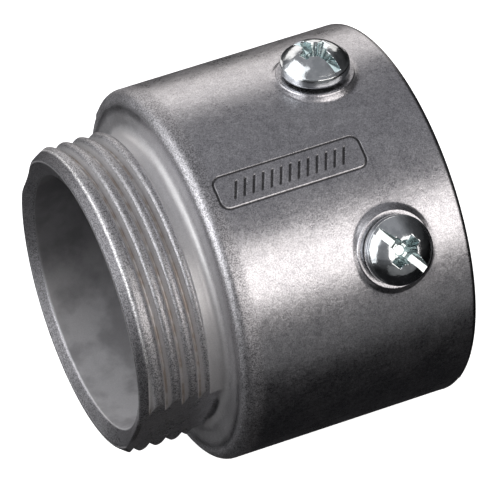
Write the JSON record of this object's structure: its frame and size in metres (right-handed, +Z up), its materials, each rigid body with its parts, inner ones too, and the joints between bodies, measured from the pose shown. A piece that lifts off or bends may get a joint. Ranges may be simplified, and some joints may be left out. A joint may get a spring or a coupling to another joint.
{
  "type": "set-screw conduit connector",
  "caption": "Straight conduit connector: a cast body with a male threaded neck, a shoulder and a plain socket, clamped by pan-head screws.",
  "frame": {"origin": "on the fitting's axis, in the plane of the shoulder's seat, where the enclosure wall meets it", "axes": "+X runs along the fitting from the threaded neck towards the conduit socket, +Z points up through the top clamp screw, -Y is the side with the second screw"},
  "size_m": [0.0451, 0.0524, 0.0555],
  "materials": {
    "cast_aluminium": "die cast, fine mottled grain, satin",
    "zinc_plated_steel": "bright blue-white zinc plating"
  },
  "bodies": {
    "body": {"connector_body": "cast_aluminium"},
    "top_screw": {"clamp_screw_top": "zinc_plated_steel"},
    "side_screw": {"clamp_screw_side": "zinc_plated_steel"}
  },
  "joints": [
    {"name": "top_screw_travel", "type": "slide", "parent": "body", "child": "top_screw", "axis": [0, 0, 1], "range_m": [-0.0003, 0.005]},
    {"name": "side_screw_travel", "type": "slide", "parent": "body", "child": "side_screw", "axis": [0, -0.866, 0.5], "range_m": [-0.0003, 0.005]}
  ]
}
